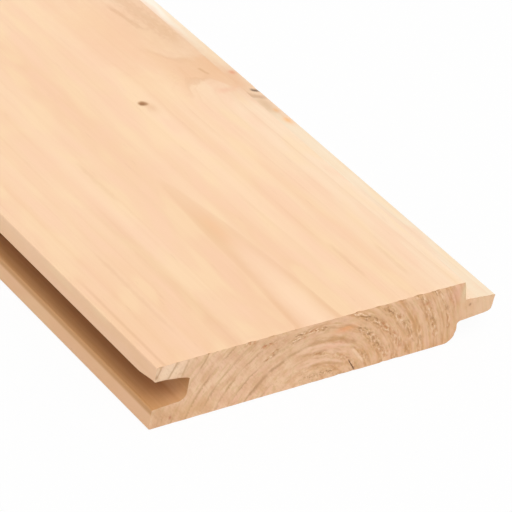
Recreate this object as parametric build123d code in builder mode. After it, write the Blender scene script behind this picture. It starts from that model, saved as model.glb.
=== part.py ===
from build123d import *
import os

# Tongue-and-groove shutter board: one piece of planed softwood, sawn off square at both ends.
# Millimetres. X runs across the board from groove to tongue, Y along it, Z up to the face.
# The origin is the middle of the back, on the surface the board lies on.

# Board as sold
board_width = 121.0
board_thickness = 21.0
board_length = 2000.0

# Groove along the -X edge, wider at its mouth than at its back
groove_depth = 12.0
groove_mouth_top = 15.0
groove_back_top = 14.4
groove_mouth_bottom = 6.6
groove_back_bottom = 7.2
groove_corner_radius = 2.5
back_lip_setback = 0.9

# Tongue along the +X edge, thinner at its tip than at its root
tongue_length = 11.4
tongue_root_top = 14.5
tongue_tip_top = 13.45
tongue_root_bottom = 7.0
tongue_tip_bottom = 8.0
tongue_root_radius = 1.5
tongue_tip_radius = 2.2

# Shoulders on either side of the tongue: the face one leans back from the joint,
# the back one stands clear of the next board
face_shoulder_lean = 1.7
back_shoulder_setback = 1.1
back_edge_radius = 3.8

# Other long arrises, just taken off by the planer
arris_radius = 0.4

# Where the edges of the section lie across the board
face_lip_x = -board_width / 2
back_lip_x = face_lip_x + back_lip_setback
groove_back_x = face_lip_x + groove_depth
tongue_tip_x = board_width / 2
face_shoulder_x = tongue_tip_x - tongue_length
back_shoulder_x = face_shoulder_x - back_shoulder_setback

# Corners of the section, clockwise from the back of the groove side
back_lip_heel = (back_lip_x, 0)
back_lip_nose = (back_lip_x, groove_mouth_bottom)
groove_bottom_corner = (groove_back_x, groove_back_bottom)
groove_top_corner = (groove_back_x, groove_back_top)
face_lip_nose = (face_lip_x, groove_mouth_top)
face_lip_arris = (face_lip_x, board_thickness)
face_shoulder_arris = (face_shoulder_x - face_shoulder_lean, board_thickness)
tongue_root = (face_shoulder_x, tongue_root_top)
tongue_tip_upper = (tongue_tip_x, tongue_tip_top)
tongue_tip_lower = (tongue_tip_x, tongue_tip_bottom)
tongue_root_below = (back_shoulder_x, tongue_root_bottom)
back_shoulder_heel = (back_shoulder_x, 0)

# The two inner corners that the cutters leave sharp, the groove's top and the tongue's root,
# have no entry here
corner_radii = {
    back_lip_heel: arris_radius,
    back_lip_nose: arris_radius,
    groove_bottom_corner: groove_corner_radius,
    face_lip_nose: arris_radius,
    face_lip_arris: arris_radius,
    face_shoulder_arris: arris_radius,
    tongue_tip_upper: arris_radius,
    tongue_tip_lower: tongue_tip_radius,
    tongue_root_below: tongue_root_radius,
    back_shoulder_heel: back_edge_radius,
}

# The board: its section drawn once on the upright plane across it, and run out to both ends
with BuildPart() as shutter_board:
    with BuildSketch(Plane.XZ) as section:
        with BuildLine():
            Polyline(
                back_lip_heel,
                back_lip_nose,
                groove_bottom_corner,
                groove_top_corner,
                face_lip_nose,
                face_lip_arris,
                face_shoulder_arris,
                tongue_root,
                tongue_tip_upper,
                tongue_tip_lower,
                tongue_root_below,
                back_shoulder_heel,
                close=True,
            )
        make_face()
        for corner, radius in corner_radii.items():
            fillet(section.vertices().sort_by_distance(corner)[0], radius)
    extrude(amount=board_length / 2, both=True)

shutter_board.part.label = "shutter_board"
os.makedirs("parts", exist_ok=True)
export_step(shutter_board.part, "parts/shutter_board.step")
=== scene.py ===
# %% [markdown]
# A shutter board is one piece of planed spruce with a groove along one edge and a tongue along the other.
# Boards like it slide together into a wall of shuttering, and the sawn end shows the growth rings.
#
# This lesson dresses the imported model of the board. The solid already has the right section and length,
# but its faces are bare and its ends are dead flat. A real board is wood all the way through, so its
# pattern can't be painted on side by side: a ring that reaches the end has to run on along the face.
# That is why the wood here is a solid pattern, worked out from the tree that the board was sawn from.

# %% The frame
import math
from types import SimpleNamespace

import bpy
import numpy as np
from mathutils import Matrix, Vector
from mathutils.geometry import delaunay_2d_cdt


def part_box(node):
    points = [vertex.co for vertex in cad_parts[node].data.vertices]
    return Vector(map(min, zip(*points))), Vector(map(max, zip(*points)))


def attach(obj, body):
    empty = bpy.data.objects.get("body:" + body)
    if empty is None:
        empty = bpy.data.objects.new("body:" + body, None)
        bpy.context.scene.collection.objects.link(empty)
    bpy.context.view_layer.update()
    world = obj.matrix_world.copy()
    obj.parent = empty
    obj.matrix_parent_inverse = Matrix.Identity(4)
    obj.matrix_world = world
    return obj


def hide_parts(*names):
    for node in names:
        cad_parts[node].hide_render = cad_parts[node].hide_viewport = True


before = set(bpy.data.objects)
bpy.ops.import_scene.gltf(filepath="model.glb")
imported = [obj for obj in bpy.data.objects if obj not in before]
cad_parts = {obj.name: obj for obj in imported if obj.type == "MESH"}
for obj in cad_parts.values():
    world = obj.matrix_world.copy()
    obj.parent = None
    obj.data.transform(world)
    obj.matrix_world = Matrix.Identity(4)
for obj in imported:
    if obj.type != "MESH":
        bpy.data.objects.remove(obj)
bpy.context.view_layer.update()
board_low, board_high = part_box("shutter_board")
mm = 0.001
board_length = round((board_high.y - board_low.y) / mm, 3)
end_y = board_low.y / mm
print("board", [round((high - low) / mm, 2) for low, high in zip(board_low, board_high)], "mm")

# %% [markdown]
# The section comes first. All sizes are in millimetres: x runs across the board from the groove to the
# tongue, z up from the back. Each corner has its place, the radius that the cutters left on it, and the
# step between the points of the straight run that follows it. The face's arris is chipped and the joint
# is looked at closely, so their steps are small; the back takes longer ones.

# %% Corners of the section
face_step = 0.5
close_step = 0.8
plain_step = 1.6
arris_radius = 0.4

face_z = round(board_high.z / mm, 3)
lip_x = round(board_low.x / mm, 3)
tongue_tip_x = round(board_high.x / mm, 3)
groove_back_x = lip_x + 12.0
groove_roof_z = 14.4
lip_underside_z = 15.0

section_corners = [
    # across, height, radius, step of the run that follows
    (lip_x + 0.9, 0.0, arris_radius, close_step),       # heel of the back lip
    (lip_x + 0.9, 6.6, arris_radius, close_step),       # nose of the back lip
    (groove_back_x, 7.2, 2.5, close_step),              # bottom corner of the groove
    (groove_back_x, groove_roof_z, 0.0, close_step),    # top corner of the groove
    (lip_x, lip_underside_z, arris_radius, close_step),  # underside of the face lip
    (lip_x, face_z, arris_radius, face_step),           # face arris on the groove side
    (47.4, face_z, arris_radius, close_step),           # face arris on the tongue side
    (49.1, 14.5, 0.0, close_step),                      # root of the tongue
    (tongue_tip_x, 13.45, arris_radius, close_step),    # upper corner of the tongue
    (tongue_tip_x, 8.0, 2.2, close_step),               # lower corner of the tongue
    (48.0, 7.0, 1.5, close_step),                       # root below the tongue
    (48.0, 0.0, 3.8, plain_step),                       # back edge, well rounded
]

# %% [markdown]
# A rounded corner is an arc that touches both of its sides. With unit vectors a and b along the sides,
# the arc starts radius / tan(half the corner's angle) down each side, and its centre lies on the line
# that halves the corner. The straight run to the next arc is divided evenly.

# %% The outline as a closed line of points
arc_step = math.radians(14)


def corner_arc(before, here, after, radius):
    """Points of the arc of that radius that touches the sides before-here and here-after."""
    if radius == 0:
        return here[None]
    a = (before - here) / np.linalg.norm(before - here)
    b = (after - here) / np.linalg.norm(after - here)
    half = math.acos(float(a @ b)) / 2
    start = here + a * radius / math.tan(half)
    centre = here + (a + b) / np.linalg.norm(a + b) * radius / math.sin(half)
    turn = math.pi - 2 * half
    turn = math.copysign(turn, float(b[0] * a[1] - b[1] * a[0]))
    angles = np.linspace(0, turn, max(3, math.ceil(abs(turn) / arc_step) + 1))
    spoke = start - centre
    return centre + np.stack([
        spoke[0] * np.cos(angles) - spoke[1] * np.sin(angles),
        spoke[0] * np.sin(angles) + spoke[1] * np.cos(angles),
    ], axis=1)


def rounded_outline(corners):
    """The closed outline: each corner's arc, then the run to the next arc divided into even steps."""
    points = np.array([(x, z) for x, z, radius, step in corners])
    arcs = [
        corner_arc(points[i - 1], points[i], points[(i + 1) % len(points)], corners[i][2])
        for i in range(len(points))
    ]
    outline = []
    for i, arc in enumerate(arcs):
        start, stop = arc[-1], arcs[(i + 1) % len(arcs)][0]
        count = math.ceil(np.linalg.norm(stop - start) / corners[i][3])
        along = np.arange(1, count)[:, None] / count
        outline += [arc, start + (stop - start) * along]
    return np.concatenate(outline)


def outward(outline):
    """Unit vectors square to the outline at each point, pointing out of the wood."""
    chord = np.roll(outline, -1, axis=0) - np.roll(outline, 1, axis=0)
    square = np.stack([-chord[:, 1], chord[:, 0]], axis=1)
    return square / np.linalg.norm(square, axis=1, keepdims=True)


rim = rounded_outline(section_corners)
rim_out = outward(rim)
print("outline points", len(rim))

# %% [markdown]
# The tree. Its pith ran just below the back of this board, a little left of the middle. A ring is a
# cone about the pith: seen on the end it is an arc, and on the face, where the cones are cut almost
# along their length, it is a long pointed arch that joiners call a cathedral. The pith leans a little
# towards the groove as it runs along, and the rings on that side are wider, as if the section had
# been stretched that way.
#
# The same few values drive the relief here and the colours further down.

# %% The tree that the board was sawn from
pith_x = -5.25
pith_z = -9.5
pith_lean = -0.013
first_ring = 27.13
ring_width = 4.53
taper = 0.0152
groove_side_stretch = 1.066
tone_seed = 1246.0


def ring_phase(x, z):
    """Place in the year's growth on the end, 0 at its start to 1 at its end: the part after the point of
    (distance from the pith - first ring) / ring width."""
    across = x - pith_x
    across = np.where(across < 0, across / groove_side_stretch, across)
    return np.mod((np.hypot(across, z - pith_z) - first_ring) / ring_width, 1)


# %% [markdown]
# Relief that can be felt is made in the mesh: the torn end grain, the chips along the top arris of the
# end, the worn lip of the groove and the pit of the small dead knot. All of it only takes wood away, so
# the board never grows past its solid. Random heights come from a seeded lattice, so that each run
# gives the same board.

# %% Helpers for relief
lattice_rows, lattice_columns = 61, 67


def ease(t):
    """A smooth step: 0 below 0, 1 above 1, and 3t^2 - 2t^3 between."""
    t = np.clip(t, 0, 1)
    return t * t * (3 - 2 * t)


def blotches(u, v, seed):
    """Smooth random heights from 0 to 1: a lattice of seeded random numbers, each point taking the
    eased average of the four numbers around it."""
    lattice = np.random.default_rng(seed).random((lattice_rows, lattice_columns))
    i, j = np.floor(u).astype(int), np.floor(v).astype(int)
    a, b = ease(u - i), ease(v - j)
    next_i, next_j = (i + 1) % lattice_rows, (j + 1) % lattice_columns
    i, j = i % lattice_rows, j % lattice_columns
    near = lattice[i, j] * (1 - a) + lattice[next_i, j] * a
    far = lattice[i, next_j] * (1 - a) + lattice[next_i, next_j] * a
    return near * (1 - b) + far * b


def mound(distance, reach):
    """A soft hump: exp(-(distance / reach)^2)."""
    return np.exp(-(distance / reach) ** 2)


# %% [markdown]
# The saw that cut the ends to length ran down across the section at a slant, and it tore the soft early
# wood more than the hard late wood. The half towards the tongue came off worse, and there the tears
# follow the rings. So the depth of the torn grain is one noise drawn out along the saw's path, and
# another drawn out round the pith, which takes over towards the tongue and bites into the soft wood.

# %% The torn end grain
saw_slant = math.radians(52)
tear_depth = 0.34
rough_from_x, rough_to_x = -18.0, 16.0
grain_size = (2.4, 1.15)
pit_size = (2.1, 1.05)
millimetres_per_turn = 30.0


def torn_depth(x, z, seed):
    """Depth of the torn grain at (x, z), in mm: noise along the saw's path + pits round the pith x
    roughness x softness of the wood."""
    down_cut = x * math.cos(saw_slant) - z * math.sin(saw_slant)
    across_cut = x * math.sin(saw_slant) + z * math.cos(saw_slant)
    from_pith = np.hypot(x - pith_x, z - pith_z)
    round_pith = np.arctan2(z - pith_z, x - pith_x) * millimetres_per_turn
    soft = 1 - ease((ring_phase(x, z) - 0.25) / 0.4)
    rough = ease((x - rough_from_x) / (rough_to_x - rough_from_x))
    grain = blotches(down_cut / grain_size[0], across_cut / grain_size[1], seed)
    pits = blotches(round_pith / pit_size[0], from_pith / pit_size[1], seed + 1)
    pits = ease((pits - 0.5) / 0.4)
    return tear_depth * ((0.35 - 0.1 * rough) * grain + (0.1 + 0.65 * rough) * (0.3 + 0.7 * soft) * pits)


# %% [markdown]
# Where the saw came out it broke small chips from the top arris of the end. They are listed by where
# they sit across the board. The lip above the groove is worn too: over its last few millimetres its
# lower arris has been pushed and rubbed back.

# %% Chips and wear
arris_chips = [
    # across, half width, depth
    (-59.6, 0.8, 0.30),
    (-43.2, 0.7, 0.30),
    (-34.5, 2.0, 0.15),
    (-29.3, 1.2, 0.40),
    (-21.3, 0.9, 0.30),
    (-14.0, 1.8, 0.20),
    (9.0, 1.5, 0.30),
    (15.5, 0.9, 0.30),
    (23.5, 1.6, 0.20),
    (30.6, 1.1, 0.40),
    (37.3, 1.0, 0.30),
    (41.5, 0.8, 0.20),
]
chip_reach = 0.7
chip_lean = 0.4
lip_wear_height = 1.2
lip_wear_run = 8.5
lip_wear_reach = 8.0
ragged_step, chip_step = 0.9, 0.6
ragged_seed, chip_seed = 31, 37


def chip_depth(x):
    """Depth of the broken arris at x: the listed chips and a low raggedness between them."""
    chips = sum(depth * mound(x - across, half_width) for across, half_width, depth in arris_chips)
    broken = 0.3 + 1.2 * blotches(x / chip_step, x * 0, chip_seed)
    return chips * broken + 0.3 * blotches(x / ragged_step, x * 0, ragged_seed)


def break_arris(x, z, y):
    """Moves points near the end's top arris back by the depth of the chips there, and a little down."""
    nearness = mound(np.hypot(y, face_z - z), chip_reach)
    depth = chip_depth(x) * nearness
    return z - chip_lean * depth, y + depth, depth


def wear_lip(x, z, y):
    """Lifts the underside of the lip over the groove near the end. The lift fades to nothing at the
    face, at the back of the groove and at the end of the worn run."""
    towards_nose = np.clip((groove_back_x - x) / lip_wear_reach, 0, 1) ** 0.6
    run = ease(1 - y / lip_wear_run)
    height = np.clip((face_z - z) / (face_z - lip_underside_z), 0, 1.1)
    in_lip = (x < groove_back_x) & (z > groove_roof_z - 0.1)
    return z + lip_wear_height * np.where(in_lip, towards_nose * run * height, 0)


# %% [markdown]
# Two knots show. The small one is a dead pin knot on the face, and it has shrunk into a pit. The other
# is a larger branch that left the tree on the tongue side; the face only grazes it, and the planer
# left it slightly hollow. A branch grows straight out from the pith, so its place on the face also
# says which way it runs through the board, and where it comes out again.

# %% The two knots
pin_knot_x, pin_knot_y = 12.3, 115.0
branch_y = 125.0
branch_rise = math.radians(29.5)
pin_pit_depth = 0.25
graze_x, graze_depth, graze_seed = 46.0, 0.10, 41
spike_x, spike_y, spike_depth = 59.2, 119.6, 0.3
wedge_x, wedge_y, wedge_depth = 55.5, 116.0, 0.25
tongue_from_x = 49.0


def knot_hollow(x, z, y):
    """Depth of the pit of the pin knot and of the hollows over the branch, in mm: one where the face
    grazes it, and on the tongue a spike of dead wood and a wedge before it."""
    pin = np.hypot(x - pin_knot_x, y - pin_knot_y)
    pit = pin_pit_depth * mound(pin, 1.1) * (z > face_z - 1)
    graze = np.hypot((x - graze_x) / 9, (y - branch_y) / 8)
    hollow = graze_depth * mound(graze, 1.0) * blotches(x / 1.7, y / 2.3, graze_seed)
    spike = spike_depth * mound(np.hypot(x - spike_x, y - spike_y), 1.4)
    wedge = wedge_depth * mound(np.hypot((x - wedge_x) / 2.6, y - wedge_y), 1.0)
    return pit + hollow + (spike + wedge) * (x > tongue_from_x)


# %% [markdown]
# The long sides are the outline carried along the board. Its rows stand close together where there is
# something to see, at the ends and at the knots, and far apart on the plain stretch between. A gap is
# chosen for every place along the board, the gaps are turned into a density, and the rows go where the
# running total of the density reaches whole numbers.

# %% Rows along the board
widest_gap = 34.0
places_tried = 20001
close_rows = [
    # middle of the stretch, half its length, gap in it, growth of the gap per millimetre outside it
    (0.0, 0.0, 0.36, 0.17),            # near end
    (board_length, 0.0, 0.36, 0.17),   # far end
    (pin_knot_y, 2.5, 0.5, 0.17),
    (branch_y, 15.0, 1.5, 0.12),
]


def row_places():
    """Distances of the rows from the end: even steps of the running total of 1 / wished gap."""
    y = np.linspace(0, board_length, places_tried)
    gap = np.full_like(y, widest_gap)
    for middle, half, narrow, growth in close_rows:
        gap = np.minimum(gap, narrow + growth * np.maximum(0, np.abs(y - middle) - half))
    total = np.concatenate([[0], np.cumsum(0.5 * (1 / gap[1:] + 1 / gap[:-1]) * np.diff(y))])
    count = math.ceil(total[-1])
    return np.interp(np.linspace(0, total[-1], count + 1), total, y)


rows = row_places()
print("rows along the board", len(rows))

# %% [markdown]
# The end is a height field: depth as a function of the place in the section. Its points stand on a
# square grid inside the outline, and the outline's own points close it, so that the end and the sides
# share one edge with no gap. Joining a grid to a curved rim by hand is fiddly, and a Delaunay
# triangulation does it in one call, with the rim's edges given as lines that it has to keep.

# %% Points inside the section
end_step = 0.42
keep_inside = 1
same_point = 1e-6


def inside_outline(points, outline):
    """True for points inside the closed outline, by counting the edges that a line to the right
    crosses: an odd count is inside."""
    start, stop = outline, np.roll(outline, -1, axis=0)
    px, pz = points[:, :1], points[:, 1:]
    spans = (start[:, 1] > pz) != (stop[:, 1] > pz)
    rise = np.where(start[:, 1] == stop[:, 1], 1, stop[:, 1] - start[:, 1])
    crossing = start[:, 0] + (pz - start[:, 1]) * (stop[:, 0] - start[:, 0]) / rise
    return np.sum(spans & (px < crossing), axis=1) % 2 == 1


def grid_inside(outline, step):
    """Points of a square grid that lie inside the outline and half a step clear of it."""
    x = np.arange(outline[:, 0].min() + step, outline[:, 0].max(), step)
    z = np.arange(outline[:, 1].min() + step / 2, outline[:, 1].max(), step)
    points = np.stack(np.meshgrid(x, z), axis=-1).reshape(-1, 2)
    points = points[inside_outline(points, outline)]
    gap = np.min(np.linalg.norm(points[:, None] - outline[None], axis=2), axis=1)
    return points[gap > 0.5 * step]


core = grid_inside(rim, end_step)
flat_points = [Vector(point) for point in np.concatenate([rim, core]).tolist()]
rim_edges = [(i, (i + 1) % len(rim)) for i in range(len(rim))]
joined = delaunay_2d_cdt(flat_points, rim_edges, [], keep_inside, same_point)
end_triangles = np.array(joined[2])
print("end face", len(core), "inner points and", len(end_triangles), "triangles")
print("every point kept", len(joined[0]) == len(flat_points))

# %% [markdown]
# Now the board is put together as arrays: the sides are rows x outline points, and each end adds its
# inner points. Every point goes through the same wear, so the rim moves with both of its neighbours.
# The far end isn't in the photo; it is sawn the same way, with less tearing and no worn lip.

# %% The board's mesh
far_end_share = 0.6
near_seed, far_seed = 11, 23
tear_fade = 1.5
sharp_angle = math.radians(38)


def end_relief(x, z):
    """Depth of the torn grain at the near end and at the far end."""
    return torn_depth(x, z, near_seed), far_end_share * torn_depth(-x, z, far_seed)


def side_points():
    """The long sides: outline x rows. A point goes in by the knots' hollows along its outward line,
    and back from each end by the torn grain, which fades within a few millimetres."""
    y = np.repeat(rows[:, None], len(rim), axis=1)
    x = np.broadcast_to(rim[:, 0], y.shape)
    z = np.broadcast_to(rim[:, 1], y.shape)
    hollow = knot_hollow(x, z, y)
    x = x - rim_out[:, 0] * hollow
    z = z - rim_out[:, 1] * hollow
    near, far = end_relief(rim[:, 0], rim[:, 1])
    y = y + near * np.exp(-y / tear_fade) - far * np.exp(-(board_length - y) / tear_fade)
    return x, z, y


def end_points():
    """The inner points of both ends, at the depth of the torn grain."""
    x, z = core[:, 0], core[:, 1]
    near, far = end_relief(x, z)
    return (x, z, near), (x, z, board_length - far)


def board_surface():
    """All points of the board (in mm, y from the near end), its faces, and each face's finish: 0 planed,
    1 sawn."""
    by_axis = zip(side_points(), *end_points())
    x, z, y = (np.concatenate([np.ravel(places) for places in axis]) for axis in by_axis)
    z, y, broken = break_arris(x, wear_lip(x, z, y), y)

    n, m = len(rim), len(rows)
    i = np.arange(n)
    j = np.arange(m - 1)[:, None]
    after = (i + 1) % n
    sides = np.stack([j * n + i, j * n + after, (j + 1) * n + after, (j + 1) * n + i], axis=-1)
    near_index = np.concatenate([i, n * m + np.arange(len(core))])
    far_index = np.concatenate([i + n * (m - 1), n * m + len(core) + np.arange(len(core))])
    near_faces = near_index[end_triangles]
    far_faces = far_index[end_triangles][:, ::-1]
    faces = sides.reshape(-1, 4).tolist() + near_faces.tolist() + far_faces.tolist()
    finish = np.repeat([0, 1], [sides.shape[0] * sides.shape[1], len(near_faces) + len(far_faces)])
    return np.stack([x, y + end_y, z], axis=1), faces, finish, broken


points, faces, finish, broken = board_surface()
board_mesh = bpy.data.meshes.new("planed_board")
board_mesh.from_pydata(points * mm, [], faces)
board_mesh.polygons.foreach_set("material_index", finish)
chipped = board_mesh.attributes.new("chipped", "FLOAT", "POINT")
chipped.data.foreach_set("value", broken.astype(np.float32))
board_mesh.update()
board = bpy.data.objects.new("planed_board", board_mesh)
bpy.context.scene.collection.objects.link(board)


def enclosed_volume(mesh):
    """Volume inside a closed mesh, from the corners of its triangles: a sum of a . (b x c) / 6. It is
    negative where the faces point inwards."""
    mesh.calc_loop_triangles()
    corners = np.zeros(len(mesh.loop_triangles) * 3, int)
    mesh.loop_triangles.foreach_get("vertices", corners)
    place = np.zeros(len(mesh.vertices) * 3)
    mesh.vertices.foreach_get("co", place)
    a, b, c = np.moveaxis(place.reshape(-1, 3)[corners.reshape(-1, 3)], 1, 0)
    return float(np.sum(a * np.cross(b, c)) / 6)


if enclosed_volume(board_mesh) < 0:
    board_mesh.flip_normals()
board_mesh.polygons.foreach_set("use_smooth", np.ones(len(board_mesh.polygons), bool))
board_mesh.set_sharp_from_angle(angle=sharp_angle)
print("triangles", len(board_mesh.loop_triangles), "volume", round(enclosed_volume(board_mesh) * 1e9), "mm3")

# %% [markdown]
# Materials. What a node gives out is called a field here: a number, a place or a colour that differs
# from spot to spot. Fields are added and multiplied like numbers, each sum becoming a node, so that a
# recipe reads as a formula. Colours are given as red, green and blue as they are seen on a screen, from
# 0 to 255, and are built up in layers, each laid on through a mask.

# %% Helpers for nodes
class Field:
    """The output of a node. A sum on fields is a new node in the same tree."""

    def __init__(self, socket):
        self.socket = socket

    def __add__(self, other):
        return work("ADD", self, other)

    def __sub__(self, other):
        return work("SUBTRACT", self, other)

    def __mul__(self, other):
        return work("MULTIPLY", self, other)

    def __truediv__(self, other):
        return work("DIVIDE", self, other)

    def __neg__(self):
        return work("MULTIPLY", self, -1.0)

    def __abs__(self):
        return work("ABSOLUTE", self)


def linear(colour):
    """The linear values that nodes use of a colour as it is seen on a screen, 0 to 255."""
    seen = np.array(colour) / 255
    seen = np.where(seen <= 0.04045, seen / 12.92, ((seen + 0.055) / 1.055) ** 2.4)
    return (*seen.tolist(), 1.0)


def fill(node, inputs):
    """Link each named or numbered input of the node to a field, or set it to a value. A colour's value is
    given as it is seen on a screen."""
    for name, value in inputs.items():
        socket = node.inputs[name]
        if isinstance(value, Field):
            node.id_data.links.new(value.socket, socket)
        else:
            socket.default_value = linear(value) if socket.type == "RGBA" else value
    return node


def add(kind, inputs, tree=None, **settings):
    """A new node with its settings and inputs, in the given tree or in the one its fields come from."""
    if tree is None:
        tree = next(value.socket.id_data for value in inputs.values() if isinstance(value, Field))
    node = tree.nodes.new("ShaderNode" + kind)
    for name, value in settings.items():
        setattr(node, name, value)
    return fill(node, inputs)


def field(kind, inputs, output=0, **settings):
    """What a new node gives out."""
    return Field(add(kind, inputs, **settings).outputs[output])


def work(operation, *terms):
    """The result of one sum, of vectors where a term is a vector."""
    of_vectors = any(isinstance(term, Field) and term.socket.type == "VECTOR" for term in terms)
    return field("VectorMath" if of_vectors else "Math", dict(enumerate(terms)), operation=operation)


def larger(first, second):
    """The larger of two values."""
    return work("MAXIMUM", first, second)


def hypot(across, up):
    """The distance that two steps at right angles make: sqrt(across^2 + up^2)."""
    return work("SQRT", across * across + up * up)


def bell(distance):
    """A soft hump: exp(-distance^2)."""
    return work("EXPONENT", -(distance * distance))


def length(vector):
    """How long the vector is."""
    return field("VectorMath", {0: vector}, "Value", operation="LENGTH")


def scaled(vector, factor):
    """The vector times a number, in one node. The plain product takes one more, which a material with as
    many strokes as the sawn end has no room for: it comes out black."""
    return field("VectorMath", {0: vector, "Scale": factor}, operation="SCALE")


def dot(first, second):
    """The product of two vectors' lengths and the cosine between them."""
    return field("VectorMath", {0: first, 1: second}, "Value", operation="DOT_PRODUCT")


def parts(place):
    """How far the place is across the board, along it and up."""
    return [Field(socket) for socket in add("SeparateXYZ", {0: place}).outputs]


def between(value, low, high):
    """0 below low, 1 above high, smooth between; with low above high it falls instead."""
    inputs = {"Value": value, "From Min": low, "From Max": high}
    return field("MapRange", inputs, interpolation_type="SMOOTHSTEP")


def spread(value, low, high):
    """The value from 0 to 1 spread evenly from low to high."""
    return field("MapRange", {"Value": value, "To Min": low, "To Max": high})


def blend(share, first, second):
    """The first value where the share is 0, the second where it is 1."""
    return field("Mix", {0: share, 2: first, 3: second})


def profile(value, *stops):
    """A curve given as (place, height) stops, smooth between them."""
    node = add("ValToRGB", {"Fac": value})
    node.color_ramp.interpolation = "EASE"
    for place, height in stops[1:-1]:
        node.color_ramp.elements.new(place)
    for element, (place, height) in zip(node.color_ramp.elements, stops):
        element.position = place
        element.color = (height, height, height, 1)
    return Field(node.outputs["Color"])


def noise(place, detail=2.0, roughness=0.5):
    """Noise of about 0 to 1, with size 1 in the place's own measure."""
    return field("TexNoise", {"Vector": place, "Scale": 1.0, "Detail": detail, "Roughness": roughness})


def line_noise(value):
    """The same along a line: noise of one value."""
    return field("TexNoise", {"W": value, "Scale": 1.0, "Detail": 1.0}, noise_dimensions="1D")


def lay(under, over, mask):
    """Colour over laid on colour under where the mask is 1."""
    return field("Mix", {0: mask, 6: under, 7: over}, 2, data_type="RGBA")


# %% [markdown]
# An effect that is used in several places is a node group with named inputs and outputs. It is made
# from a recipe: a function that gets the inputs as fields and returns the outputs.

# %% Helpers for groups
def as_fields(sockets):
    """The sockets as fields under their names in code: Half Width becomes half_width. A group's input
    node ends with a spare socket, which has no name."""
    return SimpleNamespace(**{
        socket.name.lower().replace(" ", "_"): Field(socket) for socket in sockets if socket.name
    })


def as_labels(values):
    """The values under their names on the node: half_width becomes Half Width."""
    return {name.replace("_", " ").title(): value for name, value in values.items()}


def make_group(name, recipe, **inputs):
    """A node group with these inputs, each at its starting value, and the outputs of the recipe."""
    tree = bpy.data.node_groups.new(name, "ShaderNodeTree")
    for label, value in as_labels(inputs).items():
        kind = "NodeSocketFloat" if isinstance(value, float) else "NodeSocketVector"
        tree.interface.new_socket(name=label, in_out="INPUT", socket_type=kind).default_value = value
    outputs = as_labels(recipe(as_fields(tree.nodes.new("NodeGroupInput").outputs)))
    for label in outputs:
        tree.interface.new_socket(name=label, in_out="OUTPUT", socket_type="NodeSocketFloat")
    fill(tree.nodes.new("NodeGroupOutput"), outputs)
    return tree


def use(group, **inputs):
    """What a group gives out, placed where its inputs come from."""
    return as_fields(add("Group", as_labels(inputs), node_tree=group).outputs)


# %% [markdown]
# Growth rings as a group. It repeats the cone of the relief above and adds what only colour needs: the
# pith leans and wanders along the two metres of board, a slow noise bends the rings, and knots push them
# out. Each year starts with pale wide early wood and darkens into a narrow band of late wood. No two
# years are alike: a random tone for each ring says how strong its late wood is, and a slow noise across
# the years makes some of the wood between them paler or pinker.

# %% Group: growth rings
wander_from, wander_to = 70.0, 420.0
pith_wander = 26.0
wander_length = 620.0
slow_bend, quick_bend = 6.0, 0.8
years_per_band = 0.6


def growth_rings(given):
    """Ring number = (distance from the pith + taper x distance along + bends - first ring) / width."""
    x, y, z = parts(given.place)
    away = between(y, wander_from, wander_to)
    drift = (line_noise(y / wander_length) - 0.5) * pith_wander * away
    across = x - given.pith_across - y * given.pith_lean - drift
    stretch = blend(work("LESS_THAN", across, 0.0), 1.0, given.groove_side_stretch)
    distance = hypot(across / stretch, z - given.pith_height)

    slow = (noise(given.place * (0.022, 0.0045, 0.022) + (3, 1, 5), 1.0) - 0.5) * away * slow_bend
    quick = (noise(given.place * (0.09, 0.018, 0.09) + (7, 2, 1), 1.0) - 0.5) * quick_bend
    reached = distance + y * given.taper + slow + quick - given.first_ring - given.bulge
    year = reached / given.ring_width
    phase = work("FRACT", year)
    ring = work("ROUND", year) + given.seed
    return {
        "late_wood": profile(phase, (0.0, 0.0), (0.6, 0.0), (0.82, 0.35), (0.93, 1.0), (0.965, 0.75),
                             (0.99, 0.0)),
        "ring_tone": field("TexWhiteNoise", {"W": ring}, noise_dimensions="1D"),
        "year": phase,
        "band": line_noise(year * years_per_band + given.seed),
    }


rings_group = make_group(
    "growth rings", growth_rings, place=(0.0, 0.0, 0.0), bulge=0.0, pith_across=pith_x,
    pith_height=pith_z, pith_lean=pith_lean, first_ring=first_ring, ring_width=ring_width, taper=taper,
    groove_side_stretch=groove_side_stretch, seed=tone_seed,
)

# %% [markdown]
# A branch is a cone that grows straight out from the pith. Around it the rings of the trunk are drawn
# outwards, which the group gives as a bulge to be taken from the ring field. Inside there are the
# branch's own fine rings, and between the two a darker skin of bark or resin.

# %% Group: branch
branch_ring_width = 1.3
branch_starts = 6.0


def branch_cone(given):
    """Distance from the branch's axis, less its radius there, is below 0 inside the branch."""
    x, y, z = parts(given.place)
    across = x - given.pith_across
    up = z - given.pith_height
    cosine = work("COSINE", given.rise)
    sine = work("SINE", given.rise)
    out = across * cosine + up * sine
    distance = hypot(up * cosine - across * sine, y - given.along)
    ripple = (noise(given.place * (0.3, 0.3, 0.3) + (1, 4, 2)) - 0.5) * given.skin * 3.0
    clear = distance - (given.radius + out * given.flare) + ripple
    grown = between(out, 0.0, branch_starts)
    near = work("EXPONENT", -(larger(clear, 0.0) / given.skirt)) * grown
    return {
        "inside": between(clear, given.skin, -given.skin) * grown,
        "edge": bell(clear / given.skin) * grown,
        "near": near,
        "bulge": near * given.push,
        "rings": work("FRACT", (distance + ripple) / branch_ring_width),
    }


branch_group = make_group(
    "branch", branch_cone, place=(0.0, 0.0, 0.0), pith_across=pith_x, pith_height=pith_z, along=0.0,
    rise=0.0, radius=1.0, flare=0.0, skin=0.4, push=1.0, skirt=3.0,
)

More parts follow.
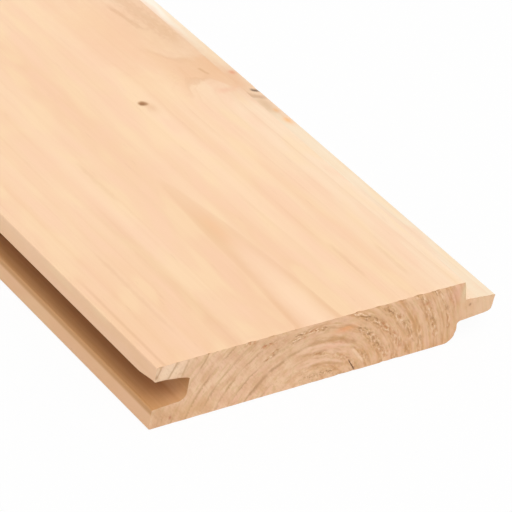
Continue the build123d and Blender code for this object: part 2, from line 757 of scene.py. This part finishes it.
# %% [markdown]
# Fibres. Spruce is made of fibres a few hundredths of a millimetre thick and millimetres long. At arm's
# length they show as fine streaks along the board, and here and there a resin canal is cut open and
# shows as a short dark dash. Both are noise drawn out along y. A slower one says where the late wood's
# lines fade out, because a planed face never cuts them evenly.

# %% Group: fibres
def fibres(given):
    """Noises drawn out along y. Each has so many waves to the millimetre across the grain and along it."""

    def drawn_out(across, along, shift, detail, roughness):
        return noise(given.place * (across, along, across) + shift, detail, roughness)

    return {
        "streaks": drawn_out(0.7, 0.012, (2, 3, 9), 3.0, 0.6),
        "fine": drawn_out(4.5, 0.09, (5, 8, 3), 2.0, 0.6),
        "dashes": between(drawn_out(2.4, 0.13, (8, 1, 6), 1.0, 0.4), 0.73, 0.8),
        "shade": drawn_out(0.09, 0.006, (4, 6, 2), 2.0, 0.5),
        "breaks": drawn_out(0.16, 0.03, (6, 3, 1), 1.0, 0.5),
    }


fibres_group = make_group("fibres", fibres, place=(0.0, 0.0, 0.0))

# %% [markdown]
# Marks that sit in one place use two groups. A stain is a soft ellipsoid, given by its centre and its
# reach in each direction. A stroke is a thin line from one place to another that fades to both ends.

# %% Groups: stain and stroke
def stain(given):
    """Mask = exp(-((place - centre) / reach)^2), with its edge broken by a noise."""
    distance = length((given.place - given.centre) / given.reach)
    edge = noise(given.place * (0.5, 0.3, 0.5)) - 0.5
    return {"mask": bell(larger(distance + edge * given.ragged, 0.0))}


def stroke(given):
    """Mask = how near the place is to the line, in half widths, times a fade towards both ends."""
    run = given.stop - given.start
    offset = given.place - given.start
    share = field("Clamp", {"Value": dot(offset, run) / dot(run, run)})
    gap = length(offset - scaled(run, share)) / given.half_width
    bend = noise(given.place * (0.9, 0.4, 0.9) + (5, 5, 5)) - 0.5
    gap = gap + bend * given.ragged * 4.0
    return {"mask": between(gap, 1.6, 0.2) * between(abs(share - 0.5), 0.5, 0.28)}


stain_group = make_group("stain", stain, place=(0.0, 0.0, 0.0), centre=(0.0, 0.0, 0.0),
                         reach=(1.0, 1.0, 1.0), ragged=0.0)
stroke_group = make_group("stroke", stroke, place=(0.0, 0.0, 0.0), start=(0.0, 0.0, 0.0),
                          stop=(1.0, 0.0, 0.0), half_width=0.5, ragged=0.0)


def stained(colour, place, stains):
    """The colour with each stain of the list laid on it."""
    for centre, reach, ragged, share, stain_colour in stains:
        mask = use(stain_group, place=place, centre=centre, reach=reach, ragged=ragged).mask
        colour = lay(colour, stain_colour, mask * share)
    return colour


def stroke_mask(place, start, stop, half_width, ragged):
    """Where one stroke lies."""
    return use(stroke_group, place=place, start=start, stop=stop, half_width=half_width,
               ragged=ragged).mask


def stroked(colour, place, strokes):
    """The colour with each stroke of the list drawn on it."""
    for start, stop, half_width, ragged, share, stroke_colour in strokes:
        mask = stroke_mask(place, start, stop, half_width, ragged)
        colour = lay(colour, stroke_colour, mask * share)
    return colour


# %% [markdown]
# The solid wood that both finishes start from: place in millimetres, rings and knots.

# %% Wood shared by both finishes
pin_knot = {
    "along": pin_knot_y, "rise": math.atan2(face_z - pith_z, pin_knot_x - pith_x), "radius": 0.1,
    "flare": 0.024, "skin": 0.55, "push": 1.2, "skirt": 1.6,
}
tongue_branch = {
    "along": branch_y, "rise": branch_rise, "radius": 1.5, "flare": 0.11, "skin": 1.5, "push": 9.0,
    "skirt": 4.0,
}


def new_material(name):
    """A material, its shader and the place in millimetres, with y from the near end."""
    material = bpy.data.materials.new(name)
    material.use_nodes = True
    tree = material.node_tree
    place = field("TexCoord", {}, "Object", tree=tree) * (1 / mm, 1 / mm, 1 / mm) + (0, -end_y, 0)
    return material, tree.nodes["Principled BSDF"], place


def solid_wood(place, drag=0.0):
    """The rings, the pin knot and the branch at this place. The drag moves the rings' lines outwards by
    that many millimetres."""
    pin = use(branch_group, place=place, **pin_knot)
    branch = use(branch_group, place=place, **tongue_branch)
    rings = use(rings_group, place=place, bulge=pin.bulge + branch.bulge + drag)
    return rings, pin, branch


# %% [markdown]
# The planed finish. Freshly planed spruce is a pale warm cream that drifts towards peach in broad bands.
# The late wood draws soft tan lines over it, some far fainter than others and few of them whole. The
# knives leave almost no texture, so the surface gets its life from fibres and a very low bump. The cut
# edges by the groove get painted shade, a deeper tan than the face, and the groove gets a painted brown
# shade that is darkest under its roof.

# %% Colours of the planed wood
cream = (251, 217, 182)
peach = (243, 200, 161)
rosy = (248, 205, 174)
straw = (250, 219, 176)
near_end_tan = (238, 190, 148)
# Painted light: the face is laid paler towards the tongue side
tongue_side_light = (252, 240, 218)
late_wood_tan = (224, 172, 126)
streak_tan = (226, 180, 136)
canal_brown = (176, 128, 88)
# Painted shade: the lip sides by the groove and the groove itself are laid darker than the face
edge_shade_tan = (214, 164, 118)
groove_shade_tan = (198, 147, 96)
groove_shade_brown = (166, 112, 50)
tongue_cream = (242, 230, 204)
# Painted light: far along the board the tongue's top is laid near white
far_tongue_glare = (255, 250, 236)
branch_light = (238, 190, 146)
branch_dark = (230, 178, 132)
dead_knot = (150, 100, 56)
knot_rim = (204, 158, 114)
line_tan = (216, 168, 124)
knot_tan = (206, 154, 108)
funnel_tan = (236, 186, 142)

# Each stain: centre, reach, raggedness of its edge, share, colour
face_stains = [
    ((-5.9, 50, 21), (2.6, 8.5, 6), 0.7, 0.45, (238, 184, 134)),     # orange in the cathedral's tip
    ((-5.5, 8, 21), (4.6, 26, 6), 0.5, 0.5, (254, 218, 188)),        # pale pink below it
    ((-6.5, 85, 21), (5.5, 32, 6), 0.5, 0.15, (240, 196, 154)),      # peach beyond it
    ((-15.5, 14, 21), (3.5, 34, 6), 0.6, 0.3, (240, 192, 156)),      # and on its groove side
    ((13.8, 112.2, 21), (1.8, 2.8, 5), 0.6, 0.45, (222, 172, 128)),  # smudge beside the pin knot
    ((29, 152, 21), (16, 28, 8), 0.7, 0.6, (242, 196, 157)),         # peach wood beyond the branch
    ((45, 152, 19), (10, 27, 8), 0.6, 0.7, (232, 189, 150)),         # tan wood beyond it, by the arris
    ((52, 148, 14.5), (4.0, 22, 3), 0.6, 0.6, (230, 184, 142)),      # and along the tongue
    ((47.5, 126, 18), (8, 8.5, 12), 0.7, 0.5, (234, 186, 142)),      # deeper tan in the branch
    ((47, 111, 19), (5, 6.0, 6), 0.6, 0.5, (232, 184, 146)),         # tan wood before it
    ((42.5, 112.6, 21), (3.8, 1.3, 3), 0.8, 0.35, (234, 166, 130)),  # red wedge before it
    ((55, 126, 14), (8, 12, 2.5), 0.5, 0.85, (234, 188, 148)),       # tan wood on the tongue
    ((57.2, 109.5, 14), (2.4, 6.0, 3), 0.7, 0.6, (212, 170, 128)),   # grey-brown on the tongue
    ((58.4, 106.8, 13.6), (1.0, 1.3, 2), 0.6, 0.6, (240, 176, 108)),
    ((58.4, 100.6, 13.6), (1.3, 1.9, 2), 0.6, 0.7, (248, 182, 112)),
    ((58.5, 130.5, 13.6), (1.2, 1.2, 2), 0.6, 0.6, (224, 140, 102)),
]
# Each stroke: from, to, half width, raggedness, share, colour
face_strokes = [
    ((-57.8, -12, 21), (-57.8, 46, 21), 0.5, 0.2, 0.3, line_tan),
    ((-46.6, 8, 21), (-46.2, 56, 21), 0.8, 0.4, 0.2, line_tan),
    ((-33.6, -20, 21), (-33.4, 80, 21), 2.2, 0.2, 0.14, line_tan),
    ((-25.2, 70, 21), (-25.2, 96, 21), 0.8, 0.4, 0.2, line_tan),
    ((21.2, 12, 21), (21.0, 33, 21), 0.7, 0.4, 0.22, line_tan),
    ((33.9, 8, 21), (33.9, 28, 21), 0.7, 0.4, 0.2, line_tan),
    ((38.4, 150, 21), (34.5, 170, 21), 1.0, 0.8, 0.3, knot_tan),  # wild grain beyond the branch
    ((45, 138, 21), (40, 178, 21), 2.6, 0.8, 0.22, knot_tan),
    ((41.0, 127.0, 21), (42.4, 121.8, 21), 0.5, 0.3, 0.4, (206, 154, 106)),
    ((61.4, 113.2, 13.5), (49.0, 120.6, 14.4), 1.2, 0.3, 0.4, (172, 126, 88)),  # edge of the branch
    ((57.4, 120.0, 13.7), (62.6, 117.6, 13.4), 0.9, 0.2, 0.85, (100, 70, 42)),  # its dead spike
]

# Where the planed sides lie: the side of the face lip, the side of the back lip, the hollow of the groove
lip_side_x = lip_x + 0.35
back_lip_side_x = lip_x + 1.3
groove_from_x = groove_back_x + 0.4
groove_edge = 0.8

# The funnel over the branch: where its two edges cross the face, and how far they bend and waver
near_edge_y, far_edge_y = 120.4, 132.8
hook_depth, swing_depth = 7.0, 9.5
waver = 6.0


def grazed_branch(place):
    """Where the planer grazed the branch: a funnel that opens both ways, and its two edges. The near edge
    hooks back towards the end on both sides, the far one swings away from it."""
    x, y, z = parts(place)
    wobble = (noise(place * (0.3, 0.22, 0.3) + (4, 4, 8)) - 0.5) * waver
    hook = between(x, 33.6, 29.2) + between(x, 41.0, 45.0)
    near = y - near_edge_y + hook * hook_depth + wobble
    far = between(x, 39.5, 29.5) * swing_depth + far_edge_y - y - wobble
    fade = between(x, 26.0, 36.0)
    inside = between(near, -1.2, 1.4) * between(far, -1.5, 2.2) * fade
    near_edge = between(abs(near - 0.4), 2.0, 0.1)
    far_edge = between(abs(far - 0.6), 3.0, 0.1)
    edges = larger(near_edge, far_edge) * fade * between(x, 44.0, 38.0)
    on_face = between(z, 19.0, 20.5)
    return inside * on_face, edges * on_face


def groove_shade_layer(x, z, streaks):
    """The painted shade of the groove, a brown that darkens towards its roof, and where it lies, weaker
    towards its back.
    """
    inwards = between(x, groove_from_x + groove_edge, groove_from_x)
    groove = inwards * between(z, 4.3, 5.5) * between(z, 15.2, 14.8)
    deep = spread(between(x, lip_x + 3, lip_x + 9), 1.0, 0.85)
    # The streaks break up the painted shade a little
    shade_streaks = spread(between(streaks, 0.35, 0.65), 0.86, 1.0)
    return lay(groove_shade_tan, groove_shade_brown, between(z, 8.0, 13.0)), groove * deep * shade_streaks


# %% Material: planed spruce
planed_relief = 0.04 * mm


def planed_spruce():
    """Cream early wood, tan late wood, streaks, knots and local marks, with a low bump."""
    material, shader, place = new_material("planed_spruce")
    rings, pin, branch = solid_wood(place)
    fibre = use(fibres_group, place=place)
    x, y, z = parts(place)

    # Early wood: broad bands of peach and cream, browner by the cut, with painted light that makes it paler
    # towards the tongue
    colour = lay(peach, cream, between(rings.band + fibre.shade + x * 0.004, 0.45, 1.4))
    colour = lay(colour, near_end_tan, between(y, 80, 0) * 0.2)
    colour = lay(colour, tongue_side_light, between(x, 26, 48) * 0.3)
    on_tongue = between(x, 50, 55)
    colour = lay(colour, tongue_cream, on_tongue * 0.45)
    # Painted light: far along the board the tongue's top is laid near white
    colour = lay(colour, far_tongue_glare, on_tongue * between(y, 145, 175) * 0.9)
    mottle = noise(place * (0.14, 0.045, 0.14) + (2, 7, 4), 1.0)
    colour = lay(colour, rosy, between(mottle, 0.5, 0.66) * 0.4)
    colour = lay(colour, straw, between(mottle, 0.5, 0.34) * 0.4)

    # Late wood: most years draw a faint and broken line, a few a strong and whole one
    strong = between(rings.ring_tone, 0.88, 0.93)
    whole = spread(between(fibre.breaks, 0.4, 0.6), 0.2, 1.0)
    strength = spread(rings.ring_tone, 0.05, 0.22) * whole + strong * 0.22 + branch.near * 0.06
    colour = lay(colour, late_wood_tan, rings.late_wood * strength)

    # Fibres and cut resin canals
    colour = lay(colour, streak_tan, between(fibre.streaks, 0.45, 0.7) * 0.08)
    colour = lay(colour, late_wood_tan, between(fibre.fine, 0.35, 0.75) * 0.05)
    colour = lay(colour, canal_brown, fibre.dashes * 0.1)

    # The branch, which the face only grazes, the local marks and the pin knot
    branch_wood = lay(branch_light, branch_dark, branch.rings)
    colour = lay(colour, branch_wood, branch.inside * spread(between(z, 15.0, 19.0), 0.5, 0.1))
    funnel, funnel_edges = grazed_branch(place)
    colour = lay(colour, funnel_tan, funnel * 0.55)
    colour = lay(colour, knot_tan, funnel_edges * 0.26)
    colour = stained(colour, place, face_stains)
    colour = stroked(colour, place, face_strokes)
    colour = lay(colour, knot_rim, pin.edge * 0.6)
    colour = lay(colour, dead_knot, pin.inside * 0.9)

    # Painted shade on the cut edges by the groove and in the groove
    lip_edge = between(x, lip_side_x, lip_x + 0.1) * 0.1
    back_lip_edge = between(x, back_lip_side_x, lip_x + 1.0) * between(z, 8.0, 6.9) * 0.45
    colour = lay(colour, edge_shade_tan, larger(lip_edge, back_lip_edge))
    colour = lay(colour, *groove_shade_layer(x, z, fibre.streaks))

    height = fibre.fine * 0.5 + rings.late_wood * 0.6 - fibre.dashes * 0.6
    fill(shader, {
        "Base Color": colour,
        "Roughness": spread(fibre.fine, 0.5, 0.66),
        "Normal": field("Bump", {"Height": height, "Strength": 0.6, "Distance": planed_relief}),
        "Specular IOR Level": 0.35,
    })
    return material


# %% [markdown]
# The sawn finish. End grain drinks in light, so it is a darker and redder tan than the face. Within each
# year it goes from olive to pink. On the groove side the wood stayed whole, the start of each year
# shows as a thin darker line, and the saw left soft strokes along its path. Towards the tongue the
# strokes follow the rings, and the soft early wood came out in crumbs. Where it tore worst is listed,
# as bent lines. A short crack runs up from the back.

# %% Colours of the sawn end
end_tan = (217, 174, 137)
end_gold = (209, 159, 113)
end_ribbon = (232, 192, 156)
end_light = (233, 197, 162)
stroke_dark = (184, 138, 96)
stroke_light = (240, 204, 168)
end_olive = (202, 156, 108)
end_pink = (228, 182, 154)
end_straw = (206, 172, 124)
end_line = (172, 130, 90)
arc_dark = (190, 144, 100)
arc_light = (238, 198, 168)
# Torn grain: dark crumbs are rust-brown wood with painted shade in their pits, pale crumbs painted
# highlights; the pale colour also draws the cream streak by the crack
torn_shade_dark = (140, 94, 52)
torn_rust = (186, 104, 58)
torn_light = (246, 212, 180)
crack_dark = (92, 56, 32)
chip_tan = (172, 128, 88)

end_stains = [
    ((4.8, 0, 16.3), (3.6, 6, 1.1), 0.7, 0.6, (226, 150, 96)),     # orange streak above the pith
    ((2.5, 0, 11.6), (5.0, 6, 1.3), 0.7, 0.5, (234, 180, 154)),    # pink band under it
    ((3.6, 0, 13.2), (3.4, 6, 0.8), 0.7, 0.5, (196, 152, 98)),     # olive between the two
    ((55.5, 0, 11), (7, 9, 6), 0.6, 0.6, (232, 198, 164)),         # paler tongue
    ((45, 0, 17.5), (2.4, 6, 3.4), 0.6, 0.6, (226, 172, 146)),     # pink corner over the tongue
    ((-56, 0, 18.6), (6.5, 9, 3.2), 0.6, 0.7, (240, 212, 182)),    # pale lip over the groove
    ((-55, 0, 3.2), (6, 9, 3.4), 0.6, 0.5, (202, 154, 112)),       # darker lip under it
    ((-52.8, 0, 2.3), (0.45, 3, 0.8), 0.4, 0.8, (168, 88, 58)),    # red-brown fleck
    ((51.2, 0, 12.3), (0.4, 3, 0.5), 0.3, 0.7, (136, 88, 56)),
    ((53.4, 0, 11.5), (0.8, 6, 3), 0.6, 0.35, (212, 168, 130)),
    ((47.9, 0, 18.2), (1.1, 6, 3.8), 0.5, 0.85, (222, 198, 160)),  # rubbed arris over the tongue
    ((-60.2, 0, 17.8), (0.5, 3, 0.7), 0.3, 0.6, (150, 104, 68)),
    ((-45.5, 0, 3.0), (6.5, 6, 3.2), 1.0, 0.55, (207, 163, 113)),  # olive patch by the back
    ((-19, 0, 18.5), (13, 6, 4.2), 0.8, 0.4, (204, 160, 120)),     # duller wood under the face
]
end_strokes = [
    ((-60.3, 0, 16.6), (-58.4, 0, 22.0), 0.3, 0.2, 0.5, end_line),  # thin ring lines across the lip
    ((-56.2, 0, 15.6), (-53.0, 0, 22.5), 0.32, 0.2, 0.5, end_line),
    ((-51.6, 0, 15.0), (-49.6, 0, 21.6), 0.35, 0.3, 0.35, end_line),
    ((-45.8, 0, 16.0), (-42.6, 0, 21.8), 0.35, 0.3, 0.5, end_line),
    ((-26.5, 0, 1), (-20.5, 0, 8.5), 0.7, 0.4, 0.5, end_line),      # one wide ring line
    ((-21, 0, 8), (-15, 0, 11.2), 0.6, 0.4, 0.45, end_line),
    ((-17, 0, 11.4), (-4, 0, 14.4), 0.5, 0.3, 0.35, end_line),
    ((-8, 0, 14.4), (5, 0, 13.0), 0.6, 0.3, 0.5, arc_dark),         # dark and light arcs over the pith
    ((3, 0, 13.3), (10.5, 0, 9.8), 0.6, 0.3, 0.5, arc_dark),
    ((-12, 0, 13.2), (1.5, 0, 12.3), 0.5, 0.3, 0.5, arc_light),
    ((-1.5, 0, 12.6), (9.5, 0, 9.3), 0.5, 0.3, 0.5, arc_light),
    ((-11.5, 0, 11.2), (-0.5, 0, 9.3), 0.5, 0.4, 0.45, arc_dark),
    ((-2, 0, 10.9), (8, 0, 7.3), 0.45, 0.4, 0.45, arc_light),
    ((-10.5, 0, 6.4), (1, 0, 7.6), 0.5, 0.3, 0.5, arc_light),
    ((-1.5, 0, 7.5), (7, 0, 4.4), 0.5, 0.3, 0.5, arc_light),
    ((-7, 0, 6.2), (3, 0, 5.6), 0.5, 0.4, 0.45, arc_dark),
    ((1, 0, 5.9), (7.5, 0, 3.1), 0.5, 0.4, 0.45, arc_dark),
    ((8.4, 0, 9.0), (14.8, 0, 1.6), 0.45, 0.2, 0.6, torn_light),    # cream streak by the crack
]
# Lines along which the saw tore the wood: half width, then points (across, height)
torn_lines = [
    (1.0, (-14.2, 16.8), (-9.6, 17.7)),
    (0.8, (-12.5, 18.8), (-2.2, 18.5)),
    (0.8, (-24.4, 17.9), (-19.8, 18.5)),
    (0.8, (-22.6, 13.0), (-19.0, 15.5)),
    (0.6, (-30.8, 20.4), (-27.4, 20.5)),
    (0.6, (-5.8, 10.4), (-1.4, 9.6)),
    (0.8, (-6.8, 2.5), (2.6, 2.2)),
    (1.1, (7.0, 20.8), (15.2, 16.4), (23.0, 10.4), (27.2, 4.4)),
    (1.2, (10.1, 15.2), (16.6, 10.4), (20.1, 5.5), (23.0, 2.0)),
    (1.1, (18.4, 19.9), (26.4, 13.4), (29.8, 9.0), (32.2, 4.8)),
    (1.0, (30.0, 21.0), (34.7, 16.9), (37.3, 12.2), (40.3, 4.3)),
    (0.8, (36.0, 21.0), (39.9, 17.7), (42.8, 12.5), (44.7, 6.0)),
]
torn_overlap = 0.25
crack_top = (8.2, 0, 4.8)
crack_foot = (11.7, 0, -0.2)
crack_width = 0.17


def torn_bands(place):
    """Where the torn lines run: the greatest of their pieces' masks. Each piece reaches past its ends by a
    share of its length, because a stroke fades there."""
    mask = 0.0
    for half_width, *corners in torn_lines:
        for (x, z), (next_x, next_z) in zip(corners, corners[1:]):
            reach_x = torn_overlap * (next_x - x)
            reach_z = torn_overlap * (next_z - z)
            start = (x - reach_x, 0, z - reach_z)
            stop = (next_x + reach_x, 0, next_z + reach_z)
            mask = larger(mask, stroke_mask(place, start, stop, half_width, 0.5))
    return mask


# %% Material: sawn end
saw_drag = 1.6
sawn_relief = 0.2 * mm


def sawn_end():
    """Tan end grain with thin lines on one side, torn bands and strokes on the other, and rough bump."""
    material, shader, place = new_material("sawn_end")
    x, y, z = parts(place)
    flat = place * (1, 0, 1)

    # Place along and across the saw's path, and round and out from the pith
    by_saw = field("VectorRotate", {"Vector": place, "Angle": -saw_slant}, rotation_type="Y_AXIS")
    saw_strokes = noise(by_saw * (0.5, 0.3, 1.7) + (6, 0, 3), 2.0, 0.6)
    rings = solid_wood(place, (saw_strokes - 0.5) * saw_drag)[0]
    across = x - pith_x
    up = z - pith_z
    around = work("ARCTAN2", up, across) * millimetres_per_turn
    by_ring = field("CombineXYZ", {"X": around, "Y": y, "Z": hypot(across, up)})

    # Where the wood is rough, where its streaks follow the rings, and where it is unsound: not by the tongue
    rough = between(x, rough_from_x, rough_to_x)
    streaky = between(x, -26.0, 2.0)
    unsound = spread(between(x, 44.0, 47.5), 1.0, 0.15)

    # The year's parts: soft early wood, ribbon of late wood, line at the year's start
    early = profile(rings.year, (0.0, 0.5), (0.08, 0.9), (0.34, 1.0), (0.56, 0.25), (0.75, 0.0), (1.0, 0.3))
    late = profile(rings.year, (0.0, 0.1), (0.1, 0.0), (0.5, 0.0), (0.72, 1.0), (0.92, 0.9), (1.0, 0.1))
    line = profile(rings.year, (0.0, 1.0), (0.07, 0.4), (0.15, 0.0), (0.86, 0.0), (0.95, 0.5), (1.0, 1.0))
    ribbon = late * streaky

    # Broad tones in facets left by the saw, pink late wood, pink and straw flecks
    patches = noise(by_saw * (0.13, 0.2, 0.3))
    facets = noise(by_ring * (0.16, 0.2, 0.42) + (4, 1, 7))
    colour = lay(end_tan, end_gold, rough)
    colour = lay(colour, end_light, between(patches + facets, 0.75, 1.2) * spread(rough, 0.95, 0.5))
    blush = noise(place * (0.1, 0.2, 0.14) + (8, 3, 2), 1.0)
    colour = lay(colour, end_pink, spread(late, 0.35, 1.0) * between(blush, 0.4, 0.62) * 0.45)
    colour = lay(colour, end_ribbon, ribbon * 0.35)
    flecks = noise(by_ring * (0.3, 0.3, 0.8) + (7, 7, 2), 2.0, 0.6)
    colour = lay(colour, end_pink, between(flecks, 0.5, 0.66) * 0.35)
    colour = lay(colour, end_straw, between(flecks, 0.5, 0.34) * 0.45)

    # The start of each year shows in pieces on the groove side, and torn early wood is olive
    pieces = noise(by_ring * (0.15, 0.2, 0.24) + (9, 2, 5), 1.0)
    pieces = spread(between(pieces, 0.42, 0.6), 0.12, 0.62)
    colour = lay(colour, end_line, line * pieces * between(x, -9.0, -24.0))
    torn = noise(by_ring * (0.08, 0.2, 0.17) + (1, 6, 3), 1.0)
    torn = between(torn, 0.42, 0.6) * early * spread(rough, 0.1, 0.5)
    torn = larger(torn, torn_bands(place) * spread(early, 0.6, 1.0)) * unsound
    colour = lay(colour, end_olive, larger(early * streaky * unsound * 0.2, torn * 0.5))
    colour = stained(colour, place, end_stains)

    # Soft strokes along the saw's path on the groove side, along the rings on the tongue side
    ring_strokes = noise(by_ring * (0.22, 0.3, 1.2) + (2, 5, 8), 1.0)
    strokes = blend(streaky, saw_strokes, ring_strokes)
    soft = spread(streaky, 0.16, 0.36) * unsound * spread(ribbon, 1.0, 0.4)
    colour = lay(colour, stroke_dark, between(strokes, 0.5, 0.34) * soft)
    colour = lay(colour, stroke_light, between(strokes, 0.52, 0.68) * soft)

    # Sharp crumbs where the wood is torn, and in a few patches elsewhere. The dark flecks are rust-brown
    # wood with painted shade in the pits, and the pale flecks are painted highlights
    crumbs = noise(by_ring * (0.7, 0.3, 1.5) + (3, 1, 4), 2.0, 0.55)
    clusters = noise(place * (0.2, 0.2, 0.26) + (5, 2, 2), 1.0)
    clusters = between(clusters, 0.55, 0.7) * 0.25 * spread(ribbon, 1.0, 0.3)
    crumbly = larger(clusters, torn) * unsound
    dark = between(crumbs, 0.5, 0.36) * crumbly
    light = between(crumbs, 0.53, 0.64) * crumbly
    colour = lay(colour, lay(torn_shade_dark, torn_rust, between(blush, 0.42, 0.58)), dark * 0.58)
    colour = lay(colour, torn_light, light * 0.75)

    # Single marks, the crack and the broken arris
    colour = stroked(colour, flat, end_strokes)
    crack = stroke_mask(flat, crack_top, crack_foot, crack_width, 0.2)
    colour = lay(colour, crack_dark, crack * 0.85)
    # The colour is laid darker where the arris is chipped
    chips = field("Attribute", {}, "Fac", tree=material.node_tree, attribute_name="chipped")
    colour = lay(colour, chip_tan, between(chips, 0.15, 0.5) * 0.5)

    height = patches * 0.4 + strokes * 0.5 + light * 0.5 - dark - crack * 1.5
    fill(shader, {
        "Base Color": colour,
        "Roughness": spread(strokes, 0.68, 0.86),
        "Normal": field("Bump", {"Height": height, "Strength": 0.7, "Distance": sawn_relief}),
        "Specular IOR Level": 0.25,
    })
    return material


board_mesh.materials.append(planed_spruce())
board_mesh.materials.append(sawn_end())
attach(board, "root")
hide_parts("shutter_board")
print("materials", [material.name for material in board_mesh.materials])

# %% [markdown]
# The floor is a wide pale sheet. It is meant to look white without more light on the board, so the
# camera sees it partly glowing; the rest of it is plain and keeps the board's shadow.

# %% Floor and backdrop
floor_half = 6.0
floor_gap = 0.0004
floor_glow = 0.94
floor_paint = (238, 237, 235)
white = (255, 255, 255)


def seen_directly(tree):
    """1 for what the camera sees itself or in a mirror, 0 for what only lights other things."""
    camera_ray = field("LightPath", {}, "Is Camera Ray", tree=tree)
    return larger(camera_ray, field("LightPath", {}, "Is Glossy Ray", tree=tree))


def white_floor():
    """Plain pale paint; for the camera alone, a share of it is an even white glow."""
    material = bpy.data.materials.new("white_floor")
    material.use_nodes = True
    tree = material.node_tree
    tree.nodes.clear()
    paint = field("BsdfDiffuse", {"Color": floor_paint}, tree=tree)
    glow = field("Emission", {"Color": white, "Strength": 1.0}, tree=tree)
    surface = field("MixShader", {0: seen_directly(tree) * floor_glow, 1: paint, 2: glow})
    add("OutputMaterial", {"Surface": surface})
    return material


floor_mesh = bpy.data.meshes.new("floor")
corners = [(-1, -1), (1, -1), (1, 1), (-1, 1)]
corners = [(across * floor_half, along * floor_half, -floor_gap) for across, along in corners]
floor_mesh.from_pydata(corners, [], [(0, 1, 2, 3)])
floor_mesh.materials.append(white_floor())
floor = bpy.data.objects.new("floor", floor_mesh)
bpy.context.scene.collection.objects.link(floor)

# %% [markdown]
# The light is soft and comes mostly from above and from the groove side, so the face is bright, the
# lip beside the groove nearly as bright, the end a step darker, and the groove itself dark. A sun with
# a wide disc lights all of the two metres alike, which a lamp close by wouldn't do.

# %% Lamps and world
def soft_sun(name, toward, strength, disc):
    """A sun that stands in the given direction from the board, with a wide disc for soft shadows."""
    lamp = bpy.data.lights.new(name, "SUN")
    lamp.energy = strength
    lamp.angle = math.radians(disc)
    holder = bpy.data.objects.new(name, lamp)
    holder.rotation_euler = Vector(toward).to_track_quat("Z", "Y").to_euler()
    bpy.context.scene.collection.objects.link(holder)


soft_sun("key_sun", (-0.26, -0.38, 0.88), 1.35, 40)
soft_sun("front_sun", (0.10, -0.85, 0.45), 0.3, 60)

ambient = 0.62
world = bpy.data.worlds.new("studio")
world.use_nodes = True
sky = world.node_tree
sky.nodes.clear()
sky_light = field("Background", {"Color": white, "Strength": spread(seen_directly(sky), ambient, 1.0)})
add("OutputWorld", {"Surface": sky_light})
bpy.context.scene.world = world

# %% [markdown]
# The camera stands a long way back with a long lens, as the photo was taken. It looks down on the
# sawn end from the groove side, and it is rolled, so that the board runs off at the top left.

# %% Camera
aim = Vector((-3.05, end_y + 34.13, face_z)) * mm
distance = 917.66 * mm
heading = math.radians(42.033)
look_down = math.radians(32.886)
roll = math.radians(11.505)
long_lens = 227.7585
sensor_width = 36
sight_from, sight_to = 0.05, 50

ahead = Vector((math.sin(heading) * math.cos(look_down), math.cos(heading) * math.cos(look_down),
                -math.sin(look_down)))
camera_data = bpy.data.cameras.new("photo_camera")
camera_data.lens = long_lens
camera_data.sensor_width = sensor_width
camera_data.clip_start = sight_from
camera_data.clip_end = sight_to
camera = bpy.data.objects.new("photo_camera", camera_data)
turn = ahead.to_track_quat("-Z", "Y").to_matrix() @ Matrix.Rotation(roll, 3, "Z")
camera.matrix_world = Matrix.Translation(aim - ahead * distance) @ turn.to_4x4()
bpy.context.scene.collection.objects.link(camera)
bpy.context.scene.camera = camera
bpy.context.scene.view_settings.view_transform = "Standard"
print("camera at", [round(value, 4) for value in camera.location])
